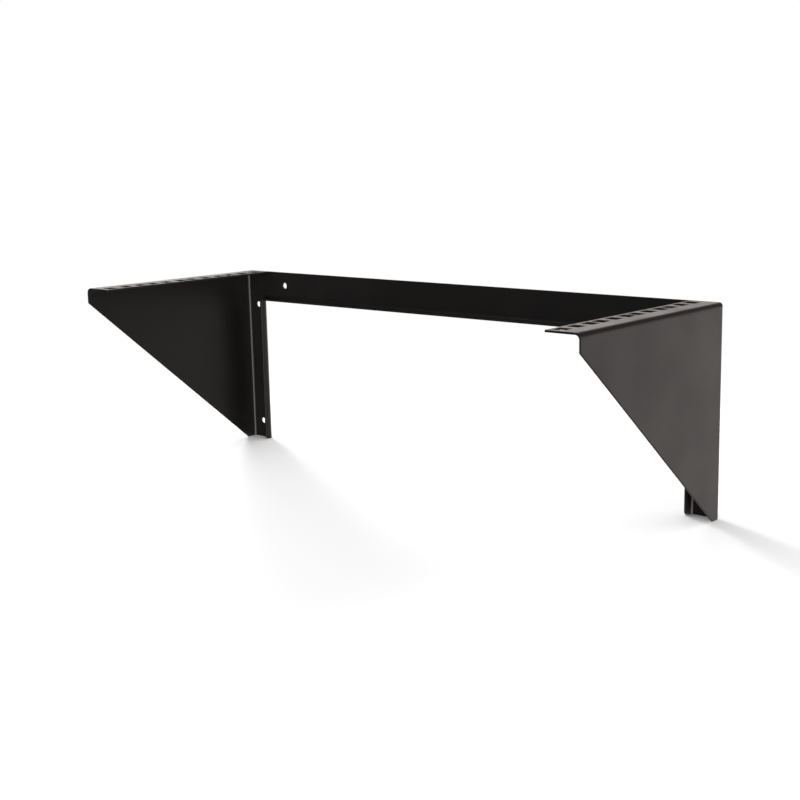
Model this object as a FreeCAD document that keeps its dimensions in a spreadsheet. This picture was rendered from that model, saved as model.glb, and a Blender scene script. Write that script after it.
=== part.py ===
import FreeCAD, Part
import os

import Sketcher

# Open wall mount rack for 19 inch equipment, four rack units.
# Two folded side brackets and a folded back rail, welded at two mitred corners.
# X runs along the rail, the wall is the plane Y = 0 and the front faces -Y, Z is up.
# Z = 0 is the line of the two rail holes. All sizes are in millimetres.

SIZES = {
    # overall sizes, the depth follows from the rack units below
    "width": 506.0,
    "height": 162.0,
    # sheet and its bends
    "sheet": 1.5,
    "bend_outer": 4.5,
    "corner_round": 1.0,
    # side bracket
    "front_edge": 13.0,
    "foot_depth": 11.0,
    "web_w": 25.0,
    "lip_depth": 9.5,
    "lip_round": 4.0,
    # back rail
    "rail_tall": 27.0,
    # rack holes in the top flanges, with their rows 465.1 apart
    "row_inset": 20.45,
    "unit_pitch": 44.45,
    "unit_count": 4.0,
    "hole_step": 15.875,
    "first_hole": 9.5,
    "last_hole": 12.4,
    "square_hole": 9.5,
    "hole_edge": 2.8,
    # holes for wall screws, those of the rail 406.4 apart for wall studs
    "wall_hole": 5.5,
    "stud_inset": 49.8,
    "rail_hole_drop": 12.5,
    "side_hole_inset": 13.0,
    "side_hole_top": 32.0,
    "side_hole_foot": 16.0,
    # mitred corners
    "seam_gap": 0.3,
    "weld_half": 1.0,
    "weld_deep": 1.2,
    "weld_from": 7.0,
    "weld_to": 18.0,
    # how far a cut runs past the metal
    "over": 1.0,
}


class Size:
    """A length with its number and the spreadsheet expression that drives it."""

    def __init__(self, text, value):
        self.text = text
        self.value = value

    def __add__(self, other):
        other = size(other)
        return Size("(%s + %s)" % (self.text, other.text), self.value + other.value)

    def __sub__(self, other):
        other = size(other)
        return Size("(%s - %s)" % (self.text, other.text), self.value - other.value)

    def __mul__(self, other):
        other = size(other)
        return Size("(%s * %s)" % (self.text, other.text), self.value * other.value)

    def __truediv__(self, other):
        other = size(other)
        return Size("(%s / %s)" % (self.text, other.text), self.value / other.value)

    def __neg__(self):
        return Size("(0 - %s)" % self.text, -self.value)


def size(number):
    """Turns a plain number into a Size."""
    if isinstance(number, Size):
        return number
    return Size("%g" % number, float(number))


doc = FreeCAD.newDocument("wall_rack")
sheet = doc.addObject("Spreadsheet::Sheet", "sizes")
dim = {}
for row, (name, number) in enumerate(SIZES.items(), start=1):
    sheet.set("A%d" % row, name)
    sheet.set("B%d" % row, "%g" % number)
    sheet.setAlias("B%d" % row, name)
    dim[name] = Size("sizes.%s" % name, number)
doc.recompute()


def plane(body, role):
    """The named origin plane of a body."""
    return [f for f in body.Origin.OriginFeatures if f.Role == role][0]


def new_sketch(body, label, role, offset=None):
    """A sketch on an origin plane, moved along the plane's normal by offset."""
    sketch = body.newObject("Sketcher::SketchObject", label)
    sketch.AttachmentSupport = [(plane(body, role), "")]
    sketch.MapMode = "FlatFace"
    if offset is not None:
        sketch.setExpression("AttachmentOffset.Base.z", offset.text)
    return sketch


def drive(sketch, kind, geometry, point, length):
    """Ties one coordinate of a point to a size, measured from the sketch origin."""
    constraint = Sketcher.Constraint(kind, -1, 1, geometry, point, length.value)
    index = sketch.addConstraint(constraint)
    sketch.setExpression("Constraints[%d]" % index, length.text)


def add_loop(sketch, points):
    """A closed loop of straight lines through points, each one driven by sizes."""
    points = [(size(u), size(v)) for u, v in points]
    count = len(points)
    lines = []
    for i in range(count):
        a = points[i]
        b = points[(i + 1) % count]
        start = FreeCAD.Vector(a[0].value, a[1].value, 0)
        end = FreeCAD.Vector(b[0].value, b[1].value, 0)
        lines.append(sketch.addGeometry(Part.LineSegment(start, end), False))
    for i in range(count):
        after = lines[(i + 1) % count]
        sketch.addConstraint(Sketcher.Constraint("Coincident", lines[i], 2, after, 1))
    for line, (u, v) in zip(lines, points):
        drive(sketch, "DistanceX", line, 1, u)
        drive(sketch, "DistanceY", line, 1, v)


def add_circle(sketch, u, v, diameter):
    """A circle with its centre and diameter driven by sizes."""
    centre = FreeCAD.Vector(u.value, v.value, 0)
    normal = FreeCAD.Vector(0, 0, 1)
    circle = Part.Circle(centre, normal, diameter.value / 2)
    index = sketch.addGeometry(circle, False)
    drive(sketch, "DistanceX", index, 3, u)
    drive(sketch, "DistanceY", index, 3, v)
    constraint = Sketcher.Constraint("Diameter", index, diameter.value)
    index = sketch.addConstraint(constraint)
    sketch.setExpression("Constraints[%d]" % index, diameter.text)


def extrude(body, kind, label, sketch, length, reverse=False):
    """Pads or pockets a sketch by a length."""
    feature = body.newObject("PartDesign::" + kind, label)
    feature.Profile = sketch
    feature.Reversed = reverse
    feature.setExpression("Length", length.text)
    body.Tip = feature
    doc.recompute()
    return feature


def near(a, b):
    """True if two numbers are the same to a thousandth."""
    return abs(a - b) < 1e-3


def edges_through(shape, direction, wanted):
    """Names of the straight edges along a direction whose middle matches wanted."""
    names = []
    for i, edge in enumerate(shape.Edges, start=1):
        if edge.Curve.TypeId != "Part::GeomLine":
            continue
        along = edge.tangentAt(edge.FirstParameter)
        if abs(abs(along.dot(direction)) - 1) > 1e-6:
            continue
        middle = edge.valueAt((edge.FirstParameter + edge.LastParameter) / 2)
        if wanted(middle):
            names.append("Edge%d" % i)
    return names


def flat_faces(shape, wanted):
    """Names of the flat faces whose centre and outward normal match wanted."""
    names = []
    for i, face in enumerate(shape.Faces, start=1):
        if face.Surface.TypeId != "Part::GeomPlane":
            continue
        if wanted(face.CenterOfMass, face.normalAt(0, 0)):
            names.append("Face%d" % i)
    return names


def round_edges(body, label, base, names, radius):
    """Rounds the named edges of a feature."""
    feature = body.newObject("PartDesign::Fillet", label)
    feature.Base = (base, names)
    feature.setExpression("Radius", radius.text)
    body.Tip = feature
    doc.recompute()
    return feature


HOLES_PER_UNIT = 3
ALONG_X = FreeCAD.Vector(1, 0, 0)
ALONG_Y = FreeCAD.Vector(0, 1, 0)
ALONG_Z = FreeCAD.Vector(0, 0, 1)

# Shared places, measured in a body's own frame, where Z = 0 is the top of the rack.
outer_x = -dim["width"] / 2
bend_x = outer_x + dim["bend_outer"]
half_hole = dim["square_hole"] / 2
flange_w = dim["row_inset"] + half_hole + dim["hole_edge"]
flange_x = outer_x + flange_w
web_x = outer_x + dim["web_w"]
web_flat_x = web_x - dim["bend_outer"]
lip_in_x = web_x - dim["sheet"]
unit_span = dim["unit_pitch"] * (dim["unit_count"] - 1)
row_length = unit_span + dim["hole_step"] * (HOLES_PER_UNIT - 1)
front_y = -(dim["first_hole"] + row_length + dim["last_hole"])
foot_z = -dim["height"]
bend_inner = dim["bend_outer"] - dim["sheet"]
past = dim["over"]


def mitre_z(from_outer):
    """Height of the mitre line at a distance in from the rack's outer face."""
    return -(from_outer * dim["rail_tall"] / dim["web_w"])


def weld_strip():
    """Outline of the weld along the mitre, in front view."""
    left = -dim["weld_half"]
    right = dim["weld_half"] + dim["seam_gap"]
    top = dim["weld_from"]
    low = dim["weld_to"]
    return [
        (outer_x + top + left, mitre_z(top)),
        (outer_x + low + left, mitre_z(low)),
        (outer_x + low + right, mitre_z(low)),
        (outer_x + top + right, mitre_z(top)),
    ]


def lift(body):
    """Moves a body up so that the line of the rail holes is at Z = 0."""
    body.setExpression("Placement.Base.z", dim["rail_hole_drop"].text)


# Left side bracket, one sheet folded four times.
bracket = doc.addObject("PartDesign::Body", "left_side_bracket")
bracket.Label = "left_side_bracket"

# The closed envelope of the folded sheet, with the two outer bends on it.
side = new_sketch(bracket, "side_outline", "YZ_Plane", outer_x)
add_loop(
    side,
    [
        (0, 0),
        (front_y, 0),
        (front_y, -dim["front_edge"]),
        (-dim["foot_depth"], foot_z),
        (0, foot_z),
    ],
)
envelope = extrude(bracket, "Pad", "envelope", side, flange_w)

top_edge = edges_through(
    envelope.Shape,
    ALONG_Y,
    lambda p: near(p.x, outer_x.value) and near(p.z, 0),
)
rear_edge = edges_through(
    envelope.Shape,
    ALONG_Z,
    lambda p: near(p.x, outer_x.value) and near(p.y, 0),
)
outer_bends = round_edges(
    bracket, "outer_bends", envelope, top_edge + rear_edge, dim["bend_outer"]
)

# Hollowed to the sheet, open to the front, the bottom and the inner side.
open_faces = flat_faces(
    outer_bends.Shape,
    lambda c, n: n.x > 0.9 or n.y < -0.3 or n.z < -0.9,
)
folded = bracket.newObject("PartDesign::Thickness", "folded_sheet")
folded.Base = (outer_bends, open_faces)
folded.Reversed = True
folded.Mode = 0
folded.Join = 0
folded.setExpression("Value", dim["sheet"].text)
bracket.Tip = folded
doc.recompute()

# The web on the wall is narrower than the flange.
spare = new_sketch(bracket, "web_trim_outline", "XZ_Plane")
add_loop(
    spare,
    [
        (web_flat_x, -dim["sheet"]),
        (flange_x + past, -dim["sheet"]),
        (flange_x + past, foot_z - past),
        (web_flat_x, foot_z - past),
    ],
)
extrude(bracket, "Pocket", "web_trim", spare, dim["sheet"], True)

# The lip folded forward from the web.
lip = new_sketch(bracket, "lip_outline", "XY_Plane", foot_z)
add_loop(
    lip,
    [
        (web_flat_x, 0),
        (web_x, 0),
        (web_x, -dim["lip_depth"]),
        (lip_in_x, -dim["lip_depth"]),
        (lip_in_x, -dim["sheet"]),
        (web_flat_x, -dim["sheet"]),
    ],
)
lip_pad = extrude(bracket, "Pad", "lip", lip, dim["height"] - dim["bend_outer"])
lip_bend_in = edges_through(
    lip_pad.Shape,
    ALONG_Z,
    lambda p: near(p.x, lip_in_x.value) and near(p.y, -dim["sheet"].value),
)
lip_inner = round_edges(bracket, "lip_bend_inner", lip_pad, lip_bend_in, bend_inner)
lip_bend_out = edges_through(
    lip_inner.Shape,
    ALONG_Z,
    lambda p: near(p.x, web_x.value) and near(p.y, 0),
)
round_edges(bracket, "lip_bend_outer", lip_inner, lip_bend_out, dim["bend_outer"])

# The mitred top end of the web and the lip.
mitre = new_sketch(bracket, "web_mitre_outline", "XZ_Plane")
add_loop(
    mitre,
    [
        (bend_x, past),
        (bend_x, mitre_z(dim["bend_outer"])),
        (web_x + past, mitre_z(dim["web_w"] + past)),
        (flange_x + past, mitre_z(dim["web_w"] + past)),
        (flange_x + past, past),
    ],
)
extrude(bracket, "Pocket", "web_mitre", mitre, dim["sheet"], True)
lip_mitre = new_sketch(bracket, "lip_mitre_outline", "XZ_Plane")
under_flange = -(dim["sheet"] + past)
add_loop(
    lip_mitre,
    [
        (web_flat_x, under_flange),
        (web_flat_x, mitre_z(dim["web_w"] - dim["bend_outer"])),
        (web_x + past, mitre_z(dim["web_w"] + past)),
        (web_x + past, under_flange),
    ],
)
extrude(bracket, "Pocket", "lip_mitre", lip_mitre, dim["lip_depth"] + past, True)

# Groove for the weld on the wall side.
groove = new_sketch(bracket, "weld_groove_outline", "XZ_Plane")
add_loop(groove, weld_strip())
extrude(bracket, "Pocket", "weld_groove", groove, dim["weld_deep"], True)

# Holes for the wall screws.
side_holes = new_sketch(bracket, "wall_hole_outline", "XZ_Plane")
for hole_z in (-dim["side_hole_top"], foot_z + dim["side_hole_foot"]):
    add_circle(side_holes, outer_x + dim["side_hole_inset"], hole_z, dim["wall_hole"])
extrude(bracket, "Pocket", "wall_holes", side_holes, dim["sheet"], True)

# Three square rack holes to a rack unit, repeated down the flange.
rack_holes = new_sketch(bracket, "rack_hole_outline", "XY_Plane")
row_x = outer_x + dim["row_inset"]
for step in range(HOLES_PER_UNIT):
    hole_y = front_y + dim["first_hole"] + dim["hole_step"] * step
    add_loop(
        rack_holes,
        [
            (row_x - half_hole, hole_y - half_hole),
            (row_x + half_hole, hole_y - half_hole),
            (row_x + half_hole, hole_y + half_hole),
            (row_x - half_hole, hole_y + half_hole),
        ],
    )
unit_holes = extrude(
    bracket, "Pocket", "unit_holes", rack_holes, dim["sheet"] + past
)
rack_rows = bracket.newObject("PartDesign::LinearPattern", "rack_hole_row")
rack_rows.Originals = [unit_holes]
rack_rows.Direction = (rack_holes, ["V_Axis"])
rack_rows.setExpression("Length", unit_span.text)
rack_rows.setExpression("Occurrences", dim["unit_count"].text)
bracket.Tip = rack_rows
doc.recompute()

# Rounded free corners of the sheet.
lip_corner = edges_through(
    rack_rows.Shape,
    ALONG_X,
    lambda p: near(p.y, -dim["lip_depth"].value) and near(p.z, foot_z.value),
)
lip_rounded = round_edges(
    bracket, "lip_corner", rack_rows, lip_corner, dim["lip_round"]
)
plate_corners = edges_through(
    lip_rounded.Shape,
    ALONG_X,
    lambda p: (near(p.y, front_y.value) and near(p.z, -dim["front_edge"].value))
    or (near(p.y, -dim["foot_depth"].value) and near(p.z, foot_z.value)),
)
flange_corner = edges_through(
    lip_rounded.Shape,
    ALONG_Z,
    lambda p: near(p.y, front_y.value) and near(p.x, flange_x.value),
)
round_edges(
    bracket,
    "free_corners",
    lip_rounded,
    plate_corners + flange_corner,
    dim["corner_round"],
)
lift(bracket)

# Back rail, one sheet folded once, with mitred ends.
rail = doc.addObject("PartDesign::Body", "back_rail")
rail.Label = "back_rail"
rail_end_x = bend_x + dim["seam_gap"]
section = new_sketch(rail, "rail_section", "YZ_Plane", rail_end_x)
rail_z = -dim["rail_tall"]
add_loop(
    section,
    [
        (0, 0),
        (-dim["sheet"], 0),
        (-dim["sheet"], rail_z + dim["sheet"]),
        (-dim["lip_depth"], rail_z + dim["sheet"]),
        (-dim["lip_depth"], rail_z),
        (0, rail_z),
    ],
)
rail_pad = extrude(rail, "Pad", "rail", section, -(rail_end_x * 2))
rail_bend_in = edges_through(
    rail_pad.Shape,
    ALONG_X,
    lambda p: near(p.y, -dim["sheet"].value)
    and near(p.z, (rail_z + dim["sheet"]).value),
)
rail_inner = round_edges(rail, "rail_bend_inner", rail_pad, rail_bend_in, bend_inner)
rail_bend_out = edges_through(
    rail_inner.Shape,
    ALONG_X,
    lambda p: near(p.y, 0) and near(p.z, rail_z.value),
)
round_edges(rail, "rail_bend_outer", rail_inner, rail_bend_out, dim["bend_outer"])

# One end's mitre, weld groove and wall hole, then the same on the other end.
rail_mitre = new_sketch(rail, "rail_mitre_outline", "XZ_Plane")
add_loop(
    rail_mitre,
    [
        (outer_x + dim["seam_gap"], 0),
        (web_x + past + dim["seam_gap"], mitre_z(dim["web_w"] + past)),
        (outer_x + dim["seam_gap"], mitre_z(dim["web_w"] + past)),
    ],
)
mitre_cut = extrude(
    rail, "Pocket", "rail_mitre", rail_mitre, dim["lip_depth"] + past, True
)
rail_groove = new_sketch(rail, "rail_groove_outline", "XZ_Plane")
add_loop(rail_groove, weld_strip())
groove_cut = extrude(rail, "Pocket", "rail_groove", rail_groove, dim["weld_deep"], True)
rail_hole = new_sketch(rail, "stud_hole_outline", "XZ_Plane")
add_circle(
    rail_hole, outer_x + dim["stud_inset"], -dim["rail_hole_drop"], dim["wall_hole"]
)
hole_cut = extrude(rail, "Pocket", "stud_hole", rail_hole, dim["sheet"], True)
other_end = rail.newObject("PartDesign::Mirrored", "other_end")
other_end.Originals = [mitre_cut, groove_cut, hole_cut]
other_end.MirrorPlane = (plane(rail, "YZ_Plane"), [""])
rail.Tip = other_end
doc.recompute()
lift(rail)

# Weld in the mitre of the left corner, ground flush with the wall side.
weld = doc.addObject("PartDesign::Body", "left_corner_weld")
weld.Label = "left_corner_weld"
bead = new_sketch(weld, "bead_outline", "XZ_Plane")
add_loop(bead, weld_strip())
extrude(weld, "Pad", "bead", bead, dim["weld_deep"])
lift(weld)

# The right side is the mirror of the left one.
for source, label in ((bracket, "right_side_bracket"), (weld, "right_corner_weld")):
    other = doc.addObject("Part::Mirroring", label)
    other.Label = label
    other.Source = source
    other.Base = FreeCAD.Vector(0, 0, 0)
    other.Normal = ALONG_X

doc.recompute()

NODES = (
    "left_side_bracket",
    "right_side_bracket",
    "back_rail",
    "left_corner_weld",
    "right_corner_weld",
)

for item in doc.Objects:
    state = [s for s in item.State if s in ("Invalid", "Error")]
    if state:
        raise RuntimeError("%s is %s" % (item.Label, state))

os.makedirs("parts", exist_ok=True)
for label in NODES:
    node = doc.getObjectsByLabel(label)[0]
    shape = node.Shape
    if shape.isNull() or not shape.isValid():
        raise RuntimeError("%s has no valid shape" % label)
    shape.exportStep(os.path.join("parts", label + ".step"))
    box = shape.BoundBox
    print(
        "%-20s solids %d volume %.0f box X %.2f..%.2f Y %.2f..%.2f Z %.2f..%.2f"
        % (
            label,
            len(shape.Solids),
            shape.Volume,
            box.XMin,
            box.XMax,
            box.YMin,
            box.YMax,
            box.ZMin,
            box.ZMax,
        )
    )
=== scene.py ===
"""Looks of an open wall mount rack for 19 inch equipment, in black powder-coated sheet steel.

Two folded side brackets and a folded back rail meet in mitred, welded corners.
Sizes in the classes are in millimetres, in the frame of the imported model: X runs along
the rail, the wall is the plane Y = 0, the front faces -Y, and Z = 0 is the line of the
two rail holes. Meshes are written in metres.
"""

import logging
import math
from dataclasses import dataclass
from enum import Enum

import bmesh
import bpy
from mathutils import Matrix, Vector


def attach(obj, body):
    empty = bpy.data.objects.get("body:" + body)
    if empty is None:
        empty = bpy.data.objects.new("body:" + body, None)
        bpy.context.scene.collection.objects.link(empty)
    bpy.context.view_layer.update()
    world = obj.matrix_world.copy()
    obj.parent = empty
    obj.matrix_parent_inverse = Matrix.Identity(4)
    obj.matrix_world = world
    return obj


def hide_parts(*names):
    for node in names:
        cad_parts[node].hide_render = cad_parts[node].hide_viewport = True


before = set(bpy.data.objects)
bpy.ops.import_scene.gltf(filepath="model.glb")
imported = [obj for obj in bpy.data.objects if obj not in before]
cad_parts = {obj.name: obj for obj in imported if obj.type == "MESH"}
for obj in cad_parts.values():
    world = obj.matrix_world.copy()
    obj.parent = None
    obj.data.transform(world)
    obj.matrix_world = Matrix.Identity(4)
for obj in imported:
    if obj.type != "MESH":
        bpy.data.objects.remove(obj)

LOG = logging.getLogger("wall_rack")
MM = 0.001
WHITE = "#ffffff"
# Corners of a mesh that lie closer than this, in metres, are one corner.
SAME_PLACE = 1e-6
# Place of the edges' coat, whose paler colour is partly painted highlight, among the coats of a
# piece.
EDGE_COAT = 1
BODY = "root"

Point = tuple[float, float, float]
Pair = tuple[float, float]


class Side(Enum):
    """The two ends of the rack, with the sign of their X."""

    LEFT = -1
    RIGHT = 1


class Skin(Enum):
    """The two faces of a folded sheet, with how deep each lies, in sheet thicknesses."""

    OUTER = 0
    INNER = 1


def linear(colour: str) -> tuple[float, float, float, float]:
    """Turns an sRGB hex colour into linear light.

    Args:
        colour: Six hex digits after a hash sign.

    Returns:
        Red, green, blue and an alpha of 1.
    """
    parts = [int(colour[i : i + 2], 16) / 255 for i in (1, 3, 5)]
    lit = [p / 12.92 if p <= 0.04045 else ((p + 0.055) / 1.055) ** 2.4 for p in parts]
    return (lit[0], lit[1], lit[2], 1.0)


def add_node(tree: bpy.types.NodeTree, kind: str, settings: dict | None = None, **inputs):
    """Adds a node with its settings, socket values and links.

    Args:
        tree: The node tree that gets the node.
        kind: The node's type name.
        settings: Properties of the node, by name.
        **inputs: Socket values, or output sockets to link from. An underscore stands for
            a space in a socket's name, and in_0, in_1 name sockets by their number.

    Returns:
        The new node.
    """
    node = tree.nodes.new(kind)
    for name, value in (settings or {}).items():
        setattr(node, name, value)
    for name, value in inputs.items():
        if name.startswith("in_"):
            socket = node.inputs[int(name[3:])]
        else:
            socket = node.inputs[name.replace("_", " ")]
        if isinstance(value, bpy.types.NodeSocket):
            tree.links.new(value, socket)
        else:
            socket.default_value = value
    return node


def any_ray(tree: bpy.types.NodeTree, *kinds: str) -> bpy.types.NodeSocket:
    """Tells some kinds of ray from the others.

    Args:
        tree: The node tree that gets the nodes.
        *kinds: The kinds of ray, such as Camera or Glossy.

    Returns:
        A socket that is 1 for these kinds and 0 for the others.
    """
    rays = add_node(tree, "ShaderNodeLightPath").outputs
    seen = rays[f"Is {kinds[0]} Ray"]
    for kind in kinds[1:]:
        highest = add_node(
            tree,
            "ShaderNodeMath",
            {"operation": "MAXIMUM"},
            in_0=seen,
            in_1=rays[f"Is {kind} Ray"],
        )
        seen = highest.outputs["Value"]
    return seen


def smooth_step(value: float, low: float, high: float) -> float:
    """Turns a value into a share that rises smoothly.

    Args:
        value: The value.
        low: Up to here the share is 0.
        high: From here on the share is 1.

    Returns:
        The share.
    """
    t = min(max((value - low) / (high - low), 0.0), 1.0)
    return t * t * (3 - 2 * t)


@dataclass(frozen=True)
class Pattern:
    """A noise pattern of the coat: the width of its cells and its height, in mm."""

    wide: float
    detail: float
    roughness: float
    high: float = 0.0

    def noise(self, tree: bpy.types.NodeTree, place: bpy.types.NodeSocket) -> bpy.types.NodeSocket:
        """Adds the noise.

        Args:
            tree: The material's node tree.
            place: The place on the object, in metres.

        Returns:
            The noise, about 0.5 on average.
        """
        texture = add_node(
            tree,
            "ShaderNodeTexNoise",
            Vector=place,
            Scale=1.0 / (self.wide * MM),
            Detail=self.detail,
            Roughness=self.roughness,
        )
        return texture.outputs["Fac"]


@dataclass(frozen=True)
class PowderCoat:
    """Polyester powder coat on sheet steel, sprayed dry and baked to a satin black film.

    The eye sees a near-black, slightly warm film with a soft sheen that turns pale where
    it is looked along, a fine orange peel, and gentle waves where the sheet isn't flat.
    """

    name: str = "powder_coated_steel_satin_black"
    body: str = "#131212"
    body_thick: str = "#181716"
    roughness: float = 0.36
    roughness_spread: float = 0.07
    resin_ior: float = 1.5
    # Gentle waves of cold-rolled sheet after folding.
    wave: Pattern = Pattern(70.0, 1.0, 0.3, 0.05)
    # Orange peel is 0.5 to 2 mm wide. It is drawn at 2.6 mm, so that it shows.
    peel: Pattern = Pattern(2.6, 1.5, 0.4, 0.010)
    # The grain of the baked powder is under 0.3 mm. It is drawn at 0.9 mm for the same reason.
    grain: Pattern = Pattern(0.9, 2.0, 0.6, 0.004)
    # The film's thickness drifts. Where it is thick it is paler and smoother.
    drift: Pattern = Pattern(42.0, 3.0, 0.55)
    drift_range: Pair = (0.35, 0.65)
    # How far the grain sways the thickness from one speck to the next.
    grain_share: float = 0.5

    def thickness(
        self,
        tree: bpy.types.NodeTree,
        place: bpy.types.NodeSocket,
        grain: bpy.types.NodeSocket,
    ) -> bpy.types.NodeSocket:
        """Adds the drift of the film's thickness.

        Args:
            tree: The material's node tree.
            place: The place on the object, in metres.
            grain: The noise of the grain.

        Returns:
            The thickness, from 0 where the film is thin to 1 where it is thick.
        """
        film = add_node(
            tree,
            "ShaderNodeMapRange",
            Value=self.drift.noise(tree, place),
            From_Min=self.drift_range[0],
            From_Max=self.drift_range[1],
        )
        speck = add_node(
            tree,
            "ShaderNodeMath",
            {"operation": "MULTIPLY_ADD"},
            in_0=grain,
            in_1=self.grain_share,
            in_2=-self.grain_share / 2,
        )
        thick = add_node(
            tree,
            "ShaderNodeMath",
            {"operation": "ADD", "use_clamp": True},
            in_0=film.outputs["Result"],
            in_1=speck.outputs["Value"],
        )
        return thick.outputs["Value"]

    def build(self) -> bpy.types.Material:
        """Makes the material.

        Returns:
            The finished material.
        """
        material = bpy.data.materials.new(self.name)
        material.use_nodes = True
        tree = material.node_tree
        tree.nodes.clear()
        place = add_node(tree, "ShaderNodeTexCoord").outputs["Object"]
        wave, peel, grain = (p.noise(tree, place) for p in (self.wave, self.peel, self.grain))
        thick = self.thickness(tree, place, grain)
        # A mix of two colours takes its share in socket 0 and the colours in 6 and 7.
        colour = add_node(
            tree,
            "ShaderNodeMix",
            {"data_type": "RGBA"},
            in_0=thick,
            in_6=linear(self.body),
            in_7=linear(self.body_thick),
        )
        gloss = add_node(
            tree,
            "ShaderNodeMapRange",
            Value=thick,
            To_Min=self.roughness + self.roughness_spread / 2,
            To_Max=self.roughness - self.roughness_spread / 2,
        )
        normal = {}
        for pattern, noise in ((self.wave, wave), (self.peel, peel), (self.grain, grain)):
            bump = add_node(
                tree,
                "ShaderNodeBump",
                Height=noise,
                Distance=pattern.high * MM,
                Strength=1.0,
                **normal,
            )
            normal = {"Normal": bump.outputs["Normal"]}
        shader = add_node(
            tree,
            "ShaderNodeBsdfPrincipled",
            Base_Color=colour.outputs[2],
            Roughness=gloss.outputs["Result"],
            IOR=self.resin_ior,
            **normal,
        )
        add_node(tree, "ShaderNodeOutputMaterial", Surface=shader.outputs["BSDF"])
        return material


@dataclass(frozen=True)
class CoatedEdgeWithPaintedHighlight(PowderCoat):
    """The same coat on a sheared edge, where the melted film draws thin and lies smoother.

    Its paler colour is partly painted highlight, which draws a fine, pale line along each edge.
    """

    name: str = "powder_coated_steel_sheared_edge"
    # Paler than the faces' coat: partly a thinner film, partly painted highlight along the edges.
    body: str = "#20201f"
    body_thick: str = "#282725"
    roughness: float = 0.32


class FoldedSheet:
    """One folded sheet, built from faces whose corners are known on both of its skins."""

    def __init__(self, side: Side = Side.RIGHT) -> None:
        """Starts an empty sheet.

        Args:
            side: The end of the rack, whose X sign the corners get.
        """
        self._flip = side.value
        self._outer: list[Point] = []
        self._inner: list[Point] = []
        self._faces: list[list[int]] = []
        self._known: dict[tuple[float, ...], int] = {}

    def corner(self, outer: Point, inner: Point) -> int:
        """Finds or adds a corner.

        Args:
            outer: Its place on the outer skin, in mm.
            inner: Its place on the inner skin, in mm.

        Returns:
            The corner's number.
        """
        key = tuple(round(v, 3) for v in (*outer, *inner))
        if key not in self._known:
            self._known[key] = len(self._outer)
            self._outer.append(outer)
            self._inner.append(inner)
        return self._known[key]

    def face(self, corners: list[int]) -> None:
        """Adds a face, and leaves out a corner that follows itself.

        Args:
            corners: The numbers of its corners, in order around it.
        """
        kept = [c for i, c in enumerate(corners) if c != corners[i - 1]]
        if len(kept) > 2:
            self._faces.append(kept)

    def strip(self, first: list[int], second: list[int]) -> None:
        """Adds the faces between two lines of corners.

        Args:
            first: The corners of one line.
            second: As many corners of the next line.
        """
        for i in range(len(first) - 1):
            self.face([first[i], first[i + 1], second[i + 1], second[i]])

    def solid(self) -> bmesh.types.BMesh:
        """Closes the two skins along their free edges.

        Returns:
            A closed mesh in metres, with its normals outward.

        Raises:
            ValueError: If two neighbouring faces aren't wound the same way.
        """
        mesh = bmesh.new()
        skins = []
        for points in (self._outer, self._inner):
            places = [(self._flip * x * MM, y * MM, z * MM) for x, y, z in points]
            skins.append([mesh.verts.new(place) for place in places])
        runs: dict[tuple[int, int], bool] = {}
        for corners in self._faces:
            mesh.faces.new([skins[0][c] for c in corners])
            mesh.faces.new([skins[1][c] for c in reversed(corners)])
            for i, end in enumerate(corners):
                if (corners[i - 1], end) in runs:
                    raise ValueError("two faces run the same way along an edge")
                runs[(corners[i - 1], end)] = True
        for start, end in runs:
            if (end, start) not in runs:
                mesh.faces.new([skins[0][end], skins[0][start], skins[1][start], skins[1][end]])
        bmesh.ops.remove_doubles(mesh, verts=mesh.verts[:], dist=SAME_PLACE)
        bmesh.ops.dissolve_degenerate(mesh, dist=SAME_PLACE, edges=mesh.edges[:])
        loose = [v for v in mesh.verts if not v.link_faces]
        bmesh.ops.delete(mesh, geom=loose, context="VERTS")
        bmesh.ops.recalc_face_normals(mesh, faces=mesh.faces[:])
        return mesh


@dataclass
class Sheet:
    """The sheet steel that the rack is folded from, and how its edges are softened."""

    thick: float = 1.5
    bend_outer: float = 4.5
    bend_steps: int = 12
    edge_round: float = 0.22
    edge_steps: int = 3
    # Edges turn from plain to fully softened between these two angles, in degrees, and
    # stay plain where their share of the softening would be less than the least one.
    plain_angle: float = 20.0
    soft_angle: float = 55.0
    least_softening: float = 0.2

    def arc(self, step: int, skin: Skin) -> Pair:
        """Place on a bend, from the start of its arc.

        Args:
            step: Number of the step along the arc.
            skin: The skin that the point lies on.

        Returns:
            Distance in from the face before the bend, and from the face after it.
        """
        turn = math.radians(90) * step / self.bend_steps
        radius = self.bend_outer - skin.value * self.thick
        return (
            self.bend_outer - radius * math.cos(turn),
            self.bend_outer - radius * math.sin(turn),
        )

    def make_object(
        self, name: str, mesh: bmesh.types.BMesh, coats: list[bpy.types.Material]
    ) -> bpy.types.Object:
        """Turns a closed mesh into an object with softened edges.

        Args:
            name: The object's name.
            mesh: The closed mesh, which is freed.
            coats: The material of the faces and that of the softened edges.

        Returns:
            The object, with its modifiers in place.
        """
        layer = mesh.edges.layers.float.new("bevel_weight_edge")
        for edge in mesh.edges:
            if len(edge.link_faces) == 2:
                angle = math.degrees(edge.calc_face_angle(0.0))
                softening = smooth_step(angle, self.plain_angle, self.soft_angle)
                edge[layer] = softening if softening > self.least_softening else 0.0
        data = bpy.data.meshes.new(name)
        mesh.to_mesh(data)
        mesh.free()
        for coat in coats:
            data.materials.append(coat)
        data.shade_smooth()
        piece = bpy.data.objects.new(name, data)
        bpy.context.scene.collection.objects.link(piece)
        bevel = piece.modifiers.new("soft_edges", "BEVEL")
        bevel.limit_method = "WEIGHT"
        bevel.width = self.edge_round * MM
        bevel.segments = self.edge_steps
        bevel.material = EDGE_COAT
        piece.modifiers.new("flat_faces", "WEIGHTED_NORMAL")
        return piece


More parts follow.
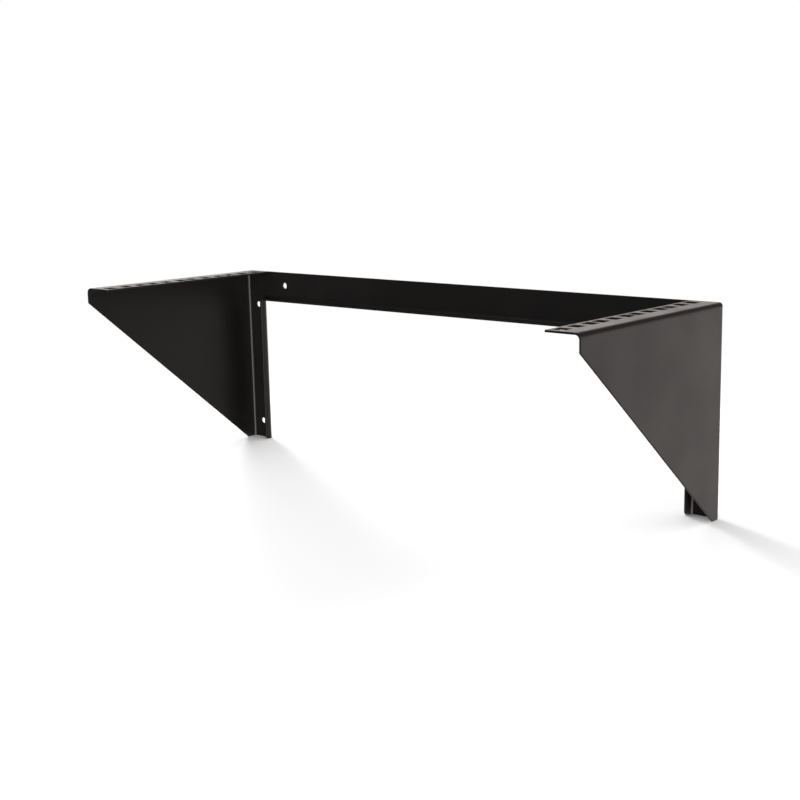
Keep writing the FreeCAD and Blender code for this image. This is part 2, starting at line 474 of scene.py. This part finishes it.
class Rack:
    """Sizes that the pieces of the rack share.

    The mitre runs from the top outer corner to the inner corner of web and rail.
    """

    half_width: float = 253.0
    top: float = 12.5
    rail_tall: float = 27.0
    web: float = 25.0
    lip: float = 9.5
    mitre_slope: float = rail_tall / web
    # Straight edges around each round hole.
    hole_steps: int = 40


@dataclass
class SideBracket(Rack):
    """A triangular side plate with a flange of rack holes, a wall web and a lip."""

    side: Side
    sheet: Sheet
    depth: float = 187.0
    foot: float = -149.5
    # Height of the plate's upright front edge, and depth of its flat foot.
    front_edge: float = 13.0
    foot_depth: float = 11.0
    corner_round: float = 1.0
    round_steps: int = 6
    flange: float = 28.0
    lip_round: float = 4.0
    # The row of square holes: its distance in, the first hole's distance from the front,
    # and the standard steps from hole to hole and from rack unit to rack unit.
    row_inset: float = 20.45
    square_hole: float = 9.5
    first_hole: float = 9.5
    unit_pitch: float = 44.45
    hole_step: float = 15.875
    units: int = 4
    holes_per_unit: int = 3
    wall_hole: float = 5.5
    wall_hole_inset: float = 13.0
    wall_hole_heights: Pair = (-133.5, -19.5)

    @property
    def name(self) -> str:
        """Name of the CAD node that this piece stands for."""
        return self.side.name.lower() + "_side_bracket"

    def at(self, inset: float, y: float, z: float) -> Point:
        """A point at a distance in from the rack's outer face."""
        return (self.half_width - inset, y, z)

    def mitre(self, inset: float) -> float:
        """Height of the mitre line at a distance in from the outer face."""
        return self.top - inset * self.mitre_slope

    def rounded(self, before: Vector, corner: Vector, after: Vector, radius: float) -> list[Vector]:
        """Points of an arc that rounds a corner of an outline.

        Args:
            before: The outline's point before the corner.
            corner: The corner.
            after: The outline's point after the corner.
            radius: Radius of the arc in mm.

        Returns:
            The points along the arc, one more than round_steps.
        """
        a = (before - corner).normalized()
        b = (after - corner).normalized()
        half = a.angle(b) / 2
        reach = radius / math.tan(half)
        centre = corner + (a + b).normalized() * (radius / math.sin(half))
        start = corner + a * reach - centre
        end = corner + b * reach - centre
        shares = [i / self.round_steps for i in range(self.round_steps + 1)]
        return [centre + start.lerp(end, share).normalized() * radius for share in shares]

    def hole_edges(self) -> list[float]:
        """Both edges of each square hole along Y, from the front."""
        half = self.square_hole / 2
        edges = []
        for unit in range(self.units):
            for hole in range(self.holes_per_unit):
                along = self.first_hole + unit * self.unit_pitch + hole * self.hole_step
                middle = along - self.depth
                edges += [middle - half, middle + half]
        return edges

    def flat(self, sheet: FoldedSheet, inset: float, y: float, z: float, into: Vector) -> int:
        """Finds or adds a corner on a flat part of the sheet.

        Args:
            sheet: The sheet that the corner is on.
            inset: Its distance in from the rack's outer face.
            y: Its place along Y.
            z: Its height.
            into: The direction into the metal, as inset, y and z.

        Returns:
            The corner's number.
        """
        outer = Vector((inset, y, z))
        inner = outer + into * self.sheet.thick
        return sheet.corner(self.at(*outer), self.at(*inner))

    def add_top_bend(self, sheet: FoldedSheet) -> list[list[int]]:
        """Adds the bend between plate and flange.

        Args:
            sheet: The sheet that gets the faces.

        Returns:
            The lines of corners along the bend, the one on the plate first.
        """
        stations = [-self.depth] + self.hole_edges()
        lines = []
        for step in range(self.sheet.bend_steps + 1):
            (u_out, d_out), (u_in, d_in) = (self.sheet.arc(step, s) for s in Skin)
            line = []
            for y in stations:
                line.append(
                    sheet.corner(
                        self.at(u_out, y, self.top - d_out),
                        self.at(u_in, y, self.top - d_in),
                    )
                )
            if step == self.sheet.bend_steps:
                down = Vector((0, 0, -1))
                bend = self.sheet.bend_outer
                line.append(self.flat(sheet, bend, -self.sheet.thick, self.top, down))
            line.append(self.crease(sheet, step))
            lines.append(line)
        for first, second in zip(lines[:-2], lines[1:-1]):
            sheet.strip(second, first)
        before, last = lines[-2], lines[-1]
        sheet.strip(last[:-2], before[:-1])
        sheet.face([before[-2], last[-3], last[-2], last[-1], before[-1]])
        return lines

    def crease(self, sheet: FoldedSheet, step: int) -> int:
        """Finds or adds the corner where the top bend and the rear bend meet.

        Args:
            sheet: The sheet that the corner is on.
            step: Number of the step along both arcs.

        Returns:
            The corner's number.
        """
        (u_out, d_out), (u_in, d_in) = (self.sheet.arc(step, s) for s in Skin)
        return sheet.corner(
            self.at(u_out, -d_out, self.top - d_out),
            self.at(u_in, -d_in, self.top - d_in),
        )

    def add_rear_bend(self, sheet: FoldedSheet) -> list[list[int]]:
        """Adds the bend between plate and web.

        Args:
            sheet: The sheet that gets the faces.

        Returns:
            The lines of corners along the bend, the one on the plate first.
        """
        lines = []
        for step in range(self.sheet.bend_steps + 1):
            (u_out, d_out), (u_in, d_in) = (self.sheet.arc(step, s) for s in Skin)
            low = sheet.corner(self.at(u_out, -d_out, self.foot), self.at(u_in, -d_in, self.foot))
            line = [low]
            if step == self.sheet.bend_steps:
                back = Vector((0, -1, 0))
                bend = self.sheet.bend_outer
                line.append(self.flat(sheet, bend, 0, self.mitre(bend), back))
            line.append(self.crease(sheet, step))
            lines.append(line)
        for first, second in zip(lines[:-2], lines[1:-1]):
            sheet.face([first[0], first[1], second[1], second[0]])
        before, last = lines[-2], lines[-1]
        sheet.face([before[0], before[1], last[2], last[1], last[0]])
        return lines

    def add_plate(self, sheet: FoldedSheet, top_line: list[int], rear_line: list[int]) -> None:
        """Adds the triangular plate.

        Args:
            sheet: The sheet that gets the face.
            top_line: The first line of the top bend.
            rear_line: The first line of the rear bend.
        """
        into = Vector((1, 0, 0))
        heel = Vector((-self.sheet.bend_outer, self.foot))
        toe = Vector((-self.foot_depth, self.foot))
        nose = Vector((-self.depth, self.top - self.front_edge))
        brow = Vector((-self.depth, self.top))
        outline = self.rounded(heel, toe, nose, self.corner_round)
        outline += self.rounded(toe, nose, brow, self.corner_round)
        edge = [self.flat(sheet, 0, p.x, p.y, into) for p in outline]
        sheet.face([rear_line[0]] + edge + top_line)

    def add_flange(self, sheet: FoldedSheet, bend_line: list[int]) -> None:
        """Adds the flange with its square holes.

        Args:
            sheet: The sheet that gets the faces.
            bend_line: The last line of the top bend.
        """
        down = Vector((0, 0, -1))
        half = self.square_hole / 2
        stations = [-self.depth] + self.hole_edges() + [-self.sheet.thick]
        columns = [bend_line[: len(stations)]]
        for inset in (self.row_inset - half, self.row_inset + half, self.flange):
            columns.append([self.flat(sheet, inset, y, self.top, down) for y in stations])
        before = Vector((self.row_inset + half, -self.depth))
        corner = Vector((self.flange, -self.depth))
        after = Vector((self.flange, stations[1]))
        arc = self.rounded(before, corner, after, self.corner_round)
        nose = [self.flat(sheet, p.x, p.y, self.top, down) for p in arc]
        for column, (first, second) in enumerate(zip(columns[:-1], columns[1:])):
            has_holes = column == 1
            has_nose = column == 2
            for i in range(len(stations) - 1):
                # Every second stretch between the stations is a hole.
                if has_holes and i % 2 == 1:
                    continue
                if has_nose and i == 0:
                    sheet.face(nose + [second[1], first[1], first[0]])
                    continue
                sheet.face([second[i], second[i + 1], first[i + 1], first[i]])

    def add_web(self, sheet: FoldedSheet, bend_line: list[int]) -> list[int]:
        """Adds the web with its wall holes.

        Args:
            sheet: The sheet that gets the faces.
            bend_line: The last line of the rear bend.

        Returns:
            The two corners where the bend to the lip starts, the lower one first.
        """
        back = Vector((0, -1, 0))
        radius = self.wall_hole / 2
        steps = self.hole_steps // 2
        middle = self.wall_hole_inset
        start = self.web - self.sheet.bend_outer
        low = self.flat(sheet, middle, 0, self.foot, back)
        high = self.flat(sheet, middle, 0, self.mitre(middle), back)
        lip_low = self.flat(sheet, start, 0, self.foot, back)
        lip_high = self.flat(sheet, start, 0, self.mitre(start), back)
        near_rim = [low]
        far_rim = [low]
        for height in self.wall_hole_heights:
            for rim, sign in ((near_rim, -1), (far_rim, 1)):
                for i in range(steps + 1):
                    turn = math.pi * i / steps
                    inset = middle + sign * radius * math.sin(turn)
                    z = height - radius * math.cos(turn)
                    rim.append(self.flat(sheet, inset, 0, z, back))
        near_rim.append(high)
        far_rim.append(high)
        sheet.face([bend_line[0], bend_line[1]] + near_rim[::-1])
        sheet.face(far_rim + [lip_high, lip_low])
        return [lip_low, lip_high]

    def add_lip(self, sheet: FoldedSheet, first_line: list[int]) -> None:
        """Adds the bend from the web, and the lip with its rounded lower corner.

        Args:
            sheet: The sheet that gets the faces.
            first_line: The two corners where the bend starts, the lower one first.
        """
        before = first_line
        for step in range(1, self.sheet.bend_steps + 1):
            (d_out, u_out), (d_in, u_in) = (self.sheet.arc(step, s) for s in Skin)
            places = [(self.web - u, -d) for u, d in ((u_out, d_out), (u_in, d_in))]
            upper = sheet.corner(*(self.at(u, y, self.mitre(u)) for u, y in places))
            lower = sheet.corner(*(self.at(u, y, self.foot) for u, y in places))
            sheet.face([before[0], before[1], upper, lower])
            before = [lower, upper]
        tip = -self.lip
        inner = self.web - self.sheet.thick
        high = sheet.corner(
            self.at(self.web, tip, self.mitre(self.web)),
            self.at(inner, tip, self.mitre(inner)),
        )
        arc = self.rounded(
            Vector((-self.sheet.bend_outer, self.foot)),
            Vector((tip, self.foot)),
            Vector((tip, self.top)),
            self.lip_round,
        )
        low = [sheet.corner(self.at(self.web, p.x, p.y), self.at(inner, p.x, p.y)) for p in arc]
        sheet.face([before[0], before[1], high] + low[::-1])

    def build(self, coats: list[bpy.types.Material]) -> bpy.types.Object:
        """Builds and dresses the bracket.

        Args:
            coats: The material of the faces and that of the softened edges.

        Returns:
            The finished object.
        """
        sheet = FoldedSheet(self.side)
        top_lines = self.add_top_bend(sheet)
        rear_lines = self.add_rear_bend(sheet)
        self.add_plate(sheet, top_lines[0], rear_lines[0])
        self.add_flange(sheet, top_lines[-1])
        self.add_lip(sheet, self.add_web(sheet, rear_lines[-1]))
        piece = self.sheet.make_object("dressed_" + self.name, sheet.solid(), coats)
        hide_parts(self.name)
        return piece


@dataclass
class BackRail(Rack):
    """The folded rail between the brackets, with a lip along its bottom edge."""

    sheet: Sheet
    seam_gap: float = 0.3
    stud_hole: float = 5.5
    stud_x: float = 203.2
    name: str = "back_rail"

    def end(self, z: float) -> float:
        """Half the rail's length at a height, with its mitred ends."""
        inset = max((self.top - z) / self.mitre_slope, self.sheet.bend_outer)
        return self.half_width - inset - self.seam_gap

    def line(self, sheet: FoldedSheet, outer: Pair, inner: Pair) -> list[int]:
        """Finds or adds the two end corners of a line along the rail.

        Args:
            sheet: The sheet that the corners are on.
            outer: The line's y and z on the outer skin.
            inner: The line's y and z on the inner skin.

        Returns:
            The numbers of the left and the right corner.
        """
        return [
            sheet.corner(
                (sign * self.end(outer[1]), *outer),
                (sign * self.end(inner[1]), *inner),
            )
            for sign in (-1, 1)
        ]

    def add_web(self, sheet: FoldedSheet, low: list[int], low_marks: list[int]) -> None:
        """Adds the web with its two stud holes.

        Args:
            sheet: The sheet that gets the faces.
            low: The two ends of the line where the bend starts.
            low_marks: The corners on that line below the two holes.
        """
        thick = self.sheet.thick
        radius = self.stud_hole / 2
        steps = self.hole_steps // 2
        kink = self.top - self.sheet.bend_outer * self.mitre_slope
        high = self.line(sheet, (0, self.top), (-thick, self.top))
        shoulder = self.line(sheet, (0, kink), (-thick, kink))
        rims = []
        high_marks = []
        for sign in (-1, 1):
            middle = sign * self.stud_x
            high_marks.append(sheet.corner((middle, 0, self.top), (middle, -thick, self.top)))
            for way in (-1, 1):
                rim = []
                for i in range(steps + 1):
                    turn = math.pi * i / steps
                    x = middle + way * radius * math.sin(turn)
                    z = radius * math.cos(turn)
                    rim.append(sheet.corner((x, 0, z), (x, -thick, z)))
                rims.append(rim)
        sheet.face([low[0], shoulder[0], high[0], high_marks[0]] + rims[0] + [low_marks[0]])
        sheet.face([low_marks[0]] + rims[1][::-1] + high_marks + rims[2] + [low_marks[1]])
        sheet.face([low_marks[1]] + rims[3][::-1] + [high_marks[1], high[1], shoulder[1], low[1]])

    def build(self, coats: list[bpy.types.Material]) -> bpy.types.Object:
        """Builds and dresses the rail.

        Args:
            coats: The material of the faces and that of the softened edges.

        Returns:
            The finished object.
        """
        sheet = FoldedSheet()
        bend = self.sheet.bend_outer
        thick = self.sheet.thick
        bottom = self.top - self.rail_tall
        low = self.line(sheet, (0, bottom + bend), (-thick, bottom + bend))
        low_marks = [
            sheet.corner((x, 0, bottom + bend), (x, -thick, bottom + bend))
            for x in (-self.stud_x, self.stud_x)
        ]
        self.add_web(sheet, low, low_marks)
        before = [low[0], *low_marks, low[1]]
        for step in range(1, self.sheet.bend_steps + 1):
            (y_out, z_out), (y_in, z_in) = (self.sheet.arc(step, s) for s in Skin)
            line = self.line(sheet, (-y_out, bottom + z_out), (-y_in, bottom + z_in))
            sheet.face(before + line[::-1])
            before = line
        tip = self.line(sheet, (-self.lip, bottom), (-self.lip, bottom + thick))
        sheet.face(before + tip[::-1])
        piece = self.sheet.make_object("dressed_" + self.name, sheet.solid(), coats)
        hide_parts(self.name)
        return piece


@dataclass
class CornerWeld(Rack):
    """The bead in a mitre on the wall side, ground flush and coated over."""

    side: Side
    # Where the bead starts and ends, as distances in from the rack's outer face, and how
    # far it lies beside the mitre line, in the middle of the seam.
    start: float = 7.0
    end: float = 18.0
    seam_shift: float = 0.15
    half: float = 1.15
    deep: float = 1.2
    # The share of its depth by which the bead falls off to its sides, and how far below
    # the wall face the grinder left its crown.
    fall: float = 0.42
    crown_gap: float = 0.03
    # Ripples of the weld, which lag behind at the sides by a share of their pitch.
    ripple_pitch: float = 1.3
    ripple: float = 0.10
    ripple_lag: float = 0.35
    # The ends are drawn in by a power of the way along, but never to nothing.
    end_power: int = 6
    least_end: float = 0.02
    steps_along: int = 96
    steps_across: int = 12

    @property
    def name(self) -> str:
        """Name of the CAD node that this piece stands for."""
        return self.side.name.lower() + "_corner_weld"

    def build(self, coats: list[bpy.types.Material]) -> bpy.types.Object:
        """Builds and dresses the bead.

        Args:
            coats: The coats of the rack, of which the bead has the first.

        Returns:
            The finished object.
        """
        mesh = bmesh.new()
        rings = []
        length = (self.end - self.start) * math.hypot(1, self.mitre_slope)
        for i in range(self.steps_along + 1):
            t = i / self.steps_along
            inset = self.start + (self.end - self.start) * t
            z = self.top - inset * self.mitre_slope
            half = self.half * math.sqrt(max(1 - (2 * t - 1) ** self.end_power, self.least_end))
            ring = []
            for j in range(self.steps_across + 1):
                across = 2 * j / self.steps_across - 1
                pitches = length * t / self.ripple_pitch - self.ripple_lag * across * across
                ripple = self.ripple * (0.5 + 0.5 * math.cos(2 * math.pi * pitches))
                dip = self.deep * self.fall * abs(across) ** 3 + ripple
                x = inset + self.seam_shift + across * half
                ring.append(mesh.verts.new(self.place(x, -max(dip, self.crown_gap), z)))
            for across in (1, -1):
                x = inset + self.seam_shift + across * half
                ring.append(mesh.verts.new(self.place(x, -self.deep, z)))
            rings.append(ring)
        for first, second in zip(rings[:-1], rings[1:]):
            for j, corner in enumerate(first):
                k = (j + 1) % len(first)
                mesh.faces.new([corner, first[k], second[k], second[j]])
        mesh.faces.new(rings[0][::-1])
        mesh.faces.new(rings[-1])
        bmesh.ops.recalc_face_normals(mesh, faces=mesh.faces[:])
        data = bpy.data.meshes.new("dressed_" + self.name)
        mesh.to_mesh(data)
        mesh.free()
        data.materials.append(coats[0])
        data.shade_smooth()
        piece = bpy.data.objects.new("dressed_" + self.name, data)
        bpy.context.scene.collection.objects.link(piece)
        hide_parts(self.name)
        return piece

    def place(self, inset: float, y: float, z: float) -> Vector:
        """A point of the bead in metres, on its own side of the rack."""
        return Vector((self.side.value * (self.half_width - inset), y, z)) * MM


@dataclass(frozen=True)
class SoftLamp:
    """A square soft lamp that faces the rack, with its place, side and aim in mm."""

    name: str
    place: Point
    size: float
    watts: float
    # Whether the coat mirrors the lamp too.
    mirrored: bool = True
    aim: Point = (0.0, -90.0, -70.0)

    def build(self) -> bpy.types.Object:
        """Adds the lamp to the scene and returns it."""
        data = bpy.data.lights.new(self.name, "AREA")
        data.shape = "SQUARE"
        data.size = self.size * MM
        data.energy = self.watts
        lamp = bpy.data.objects.new(self.name, data)
        lamp.location = Vector(self.place) * MM
        lamp.visible_camera = False
        lamp.visible_glossy = self.mirrored
        toward = Vector(self.aim) * MM - lamp.location
        lamp.rotation_euler = toward.to_track_quat("-Z", "Y").to_euler()
        bpy.context.scene.collection.objects.link(lamp)
        return lamp


@dataclass(frozen=True)
class BrightBoard:
    """A bright part of the surround, which the coat mirrors softly.

    It is brightest towards its middle. It fades out between two directions, given as
    the cosines of their angles from the middle.
    """

    middle: Point
    fade_out: float
    fade_in: float
    strength: float

    def add(self, tree: bpy.types.NodeTree, direction: bpy.types.NodeSocket) -> bpy.types.NodeSocket:
        """Adds the nodes of the board.

        Args:
            tree: The node tree of the surround.
            direction: The direction that is looked in.

        Returns:
            How bright the board is in that direction.
        """
        toward = add_node(
            tree,
            "ShaderNodeVectorMath",
            {"operation": "DOT_PRODUCT"},
            in_0=direction,
            in_1=tuple(Vector(self.middle).normalized()),
        )
        bright = add_node(
            tree,
            "ShaderNodeMapRange",
            {"interpolation_type": "SMOOTHSTEP"},
            Value=toward.outputs["Value"],
            From_Min=self.fade_out,
            From_Max=self.fade_in,
            To_Min=0.0,
            To_Max=self.strength,
        )
        return bright.outputs["Result"]


@dataclass
class Studio:
    """White floor, white surround, soft lamps and the camera."""

    # The low shadow lamp draws the wedge of shadow that starts at the left bracket's foot.
    lamps: tuple[SoftLamp, ...] = (
        SoftLamp("overhead_soft_lamp", (-300, 200, 1900), 1500, 8.0),
        SoftLamp("front_right_soft_lamp", (1500, -1700, 900), 900, 14.0),
        SoftLamp("back_left_low_lamp", (-2300, 1340, 300), 700, 1.6),
        SoftLamp("low_shadow_lamp", (-2190, 1010, 600), 500, 56.0, mirrored=False),
    )
    # The backdrop stands on the wall side. Its top fades out upward over the fade, both
    # given as the sine of an angle above the horizon. The flanges mirror its skyline.
    backdrop: BrightBoard = BrightBoard((-0.26, 0.966, 0.0), 0.42, 0.68, 1.0)
    backdrop_top: float = 0.34
    backdrop_fade: float = 0.10
    skyline_board: BrightBoard = BrightBoard((-0.50, 0.86, 0.00), 0.86, 0.97, 0.40)
    # These two draw the pale lines on bends and lips.
    side_board: BrightBoard = BrightBoard((0.80, 0.60, -0.15), 0.80, 0.95, 0.08)
    front_board: BrightBoard = BrightBoard((0.74, -0.64, -0.22), 0.87, 0.97, 4.2)
    # What the coat mirrors away from the boards, and the tint of all that it mirrors.
    dark_side: float = 0.08
    mirror_tint: str = "#fff4f0"
    # Strength of the even light on matt surfaces.
    fill: float = 0.72
    floor_height: float = -149.5
    floor_size: float = 12000.0
    floor_colour: str = WHITE
    # The floor that lights the rack is darker than the one that the eye sees.
    floor_bounce: str = "#a0a0a0"
    # Distances from the rack's middle between which its shadow on the floor fades to white.
    shadow_fade: Pair = (300.0, 700.0)
    # Camera from a fit to the photograph: place in mm, angles in degrees, and the nearest
    # and farthest distance that it sees.
    camera_place: Point = (710.11, -875.15, 130.27)
    camera_azimuth: float = 40.145
    camera_elevation: float = 10.906
    camera_roll: float = -1.041
    focal_pixels: float = 1338.1
    centre_pixel: float = 430.0
    image_pixels: float = 800.0
    sensor: float = 36.0
    camera_range: Pair = (20.0, 50000.0)

    def add_camera(self) -> bpy.types.Object:
        """Adds the camera at the photograph's viewing angle and returns it."""
        az = math.radians(self.camera_azimuth)
        el = math.radians(self.camera_elevation)
        roll = math.radians(self.camera_roll)
        back = Vector((math.sin(az) * math.cos(el), -math.cos(az) * math.cos(el), math.sin(el)))
        right = Vector((math.cos(az), math.sin(az), 0))
        up = back.cross(right)
        across = math.cos(roll) * right + math.sin(roll) * up
        upright = math.cos(roll) * up - math.sin(roll) * right
        data = bpy.data.cameras.new("camera")
        data.sensor_width = self.sensor
        data.lens = self.focal_pixels * self.sensor / self.image_pixels
        data.shift_x = (self.image_pixels / 2 - self.centre_pixel) / self.image_pixels
        data.clip_start, data.clip_end = (distance * MM for distance in self.camera_range)
        camera = bpy.data.objects.new("camera", data)
        turn = Matrix((across, upright, back)).transposed().to_4x4()
        camera.matrix_world = Matrix.Translation(Vector(self.camera_place) * MM) @ turn
        bpy.context.scene.collection.objects.link(camera)
        bpy.context.scene.camera = camera
        return camera

    def floor_material(self) -> bpy.types.Material:
        """Makes the floor's material.

        Returns:
            A matt board near the rack, which turns to plain white away from it.
        """
        material = bpy.data.materials.new("floor_matt_white_board")
        material.use_nodes = True
        tree = material.node_tree
        tree.nodes.clear()
        place = add_node(tree, "ShaderNodeTexCoord").outputs["Object"]
        reach = add_node(tree, "ShaderNodeVectorMath", {"operation": "LENGTH"}, Vector=place)
        share = add_node(
            tree,
            "ShaderNodeMapRange",
            {"interpolation_type": "SMOOTHSTEP"},
            Value=reach.outputs["Value"],
            From_Min=self.shadow_fade[0] * MM,
            From_Max=self.shadow_fade[1] * MM,
            To_Min=1.0,
            To_Max=0.0,
        )
        board = add_node(tree, "ShaderNodeBsdfDiffuse", Color=linear(self.floor_colour))
        bounce = add_node(tree, "ShaderNodeBsdfDiffuse", Color=linear(self.floor_bounce))
        white = add_node(tree, "ShaderNodeEmission", Color=linear(WHITE), Strength=1.0)
        eye = add_node(
            tree,
            "ShaderNodeMixShader",
            in_0=share.outputs["Result"],
            in_1=white.outputs["Emission"],
            in_2=board.outputs["BSDF"],
        )
        result = add_node(
            tree,
            "ShaderNodeMixShader",
            in_0=any_ray(tree, "Camera", "Glossy", "Transmission"),
            in_1=bounce.outputs["BSDF"],
            in_2=eye.outputs["Shader"],
        )
        add_node(tree, "ShaderNodeOutputMaterial", Surface=result.outputs["Shader"])
        return material

    def add_floor(self) -> bpy.types.Object:
        """Adds the floor, which is white to the eye and keeps the rack's shadow.

        Returns:
            The floor.
        """
        mesh = bmesh.new()
        half = self.floor_size / 2 * MM
        z = self.floor_height * MM
        ways = ((-1, -1), (1, -1), (1, 1), (-1, 1))
        mesh.faces.new([mesh.verts.new((x * half, y * half, z)) for x, y in ways])
        data = bpy.data.meshes.new("floor")
        mesh.to_mesh(data)
        mesh.free()
        data.materials.append(self.floor_material())
        floor = bpy.data.objects.new("floor", data)
        floor.visible_glossy = False
        bpy.context.scene.collection.objects.link(floor)
        return floor

    def mirrored_light(
        self, tree: bpy.types.NodeTree, direction: bpy.types.NodeSocket
    ) -> bpy.types.NodeSocket:
        """Adds the brightness of the surround as the coat mirrors it.

        Args:
            tree: The node tree of the surround.
            direction: The direction that is looked in.

        Returns:
            How bright the surround is in that direction.
        """
        axes = add_node(tree, "ShaderNodeSeparateXYZ", Vector=direction)
        low = add_node(
            tree,
            "ShaderNodeMapRange",
            {"interpolation_type": "SMOOTHSTEP"},
            Value=axes.outputs["Z"],
            From_Min=self.backdrop_top - self.backdrop_fade,
            From_Max=self.backdrop_top,
            To_Min=1.0,
            To_Max=0.0,
        )
        total = add_node(
            tree,
            "ShaderNodeMath",
            {"operation": "MULTIPLY_ADD"},
            in_0=self.backdrop.add(tree, direction),
            in_1=low.outputs["Result"],
            in_2=self.dark_side,
        )
        for board in (self.skyline_board, self.side_board, self.front_board):
            total = add_node(
                tree,
                "ShaderNodeMath",
                {"operation": "ADD"},
                in_0=total.outputs["Value"],
                in_1=board.add(tree, direction),
            )
        return total.outputs["Value"]

    def add_surround(self) -> None:
        """Adds the surround: white to the eye, even light, and boards in reflections."""
        world = bpy.data.worlds.new("surround")
        world.use_nodes = True
        tree = world.node_tree
        tree.nodes.clear()
        direction = add_node(tree, "ShaderNodeTexCoord").outputs["Generated"]
        plain = linear(WHITE)
        white = add_node(tree, "ShaderNodeBackground", Color=plain, Strength=1.0)
        fill = add_node(tree, "ShaderNodeBackground", Color=plain, Strength=self.fill)
        mirror = add_node(
            tree,
            "ShaderNodeBackground",
            Color=linear(self.mirror_tint),
            Strength=self.mirrored_light(tree, direction),
        )
        lit = add_node(
            tree,
            "ShaderNodeMixShader",
            in_0=any_ray(tree, "Glossy"),
            in_1=fill.outputs["Background"],
            in_2=mirror.outputs["Background"],
        )
        result = add_node(
            tree,
            "ShaderNodeMixShader",
            in_0=any_ray(tree, "Camera", "Transmission"),
            in_1=lit.outputs["Shader"],
            in_2=white.outputs["Background"],
        )
        add_node(tree, "ShaderNodeOutputWorld", Surface=result.outputs["Shader"])
        bpy.context.scene.world = world

    def build(self) -> None:
        """Adds the whole studio."""
        self.add_surround()
        self.add_floor()
        for lamp in self.lamps:
            lamp.build()
        self.add_camera()
        bpy.context.scene.view_settings.view_transform = "Standard"


def main() -> None:
    """Builds the dressed rack and its studio in order, and reports each piece."""
    logging.basicConfig(level=logging.INFO, format="%(message)s", force=True)
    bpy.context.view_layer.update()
    coats = [PowderCoat().build(), CoatedEdgeWithPaintedHighlight().build()]
    sheet = Sheet()
    makers = [
        SideBracket(Side.LEFT, sheet),
        SideBracket(Side.RIGHT, sheet),
        BackRail(sheet),
        CornerWeld(Side.LEFT),
        CornerWeld(Side.RIGHT),
    ]
    for maker in makers:
        piece = maker.build(coats)
        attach(piece, BODY)
        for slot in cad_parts[maker.name].material_slots:
            slot.material = coats[0]
        LOG.info("built %s with %d faces", piece.name, len(piece.data.polygons))
    Studio().build()
    LOG.info("built the studio")


if __name__ == "__main__":
    main()
